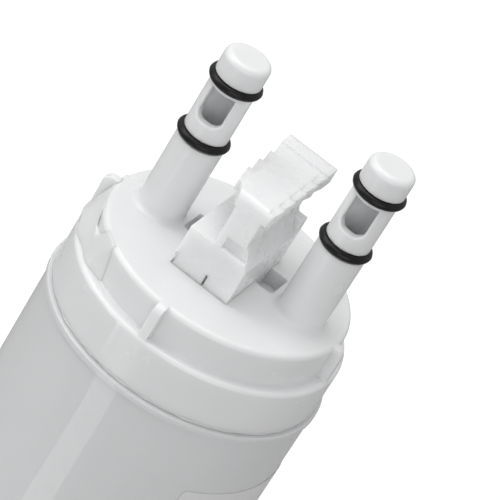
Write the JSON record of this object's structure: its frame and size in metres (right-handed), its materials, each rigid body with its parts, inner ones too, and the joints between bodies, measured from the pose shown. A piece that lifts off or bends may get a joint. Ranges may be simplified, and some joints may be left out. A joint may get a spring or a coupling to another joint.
{
  "type": "fridge water filter cartridge",
  "caption": "Push-in fridge water filter cartridge: closed bottle with a welded head, side-window ports with O-rings and a toothed snap-in key.",
  "frame": {"origin": "middle of the closed end that the cartridge stands on", "axes": "+Z along the cartridge from the closed end to the ports; the ports lie along X, their side windows face -Y"},
  "size_m": [0.062, 0.062, 0.216],
  "materials": {
    "sump": "gloss",
    "head": "gloss",
    "key": "translucent satin",
    "seal": "satin",
    "label": "satin",
    "carbon": "matt",
    "wrap": "matt",
    "element_cap": "satin"
  },
  "bodies": {
    "root": {"sump": "sump", "head": "head", "filter_key": "key", "left_port_lower_seal": "seal", "left_port_upper_seal": "seal", "right_port_lower_seal": "seal", "right_port_upper_seal": "seal", "label": "label", "carbon_block": "carbon", "sediment_wrap": "wrap", "element_bottom_cap": "element_cap", "element_top_cap": "element_cap", "element_upper_seal": "seal", "element_lower_seal": "seal"}
  },
  "joints": []
}
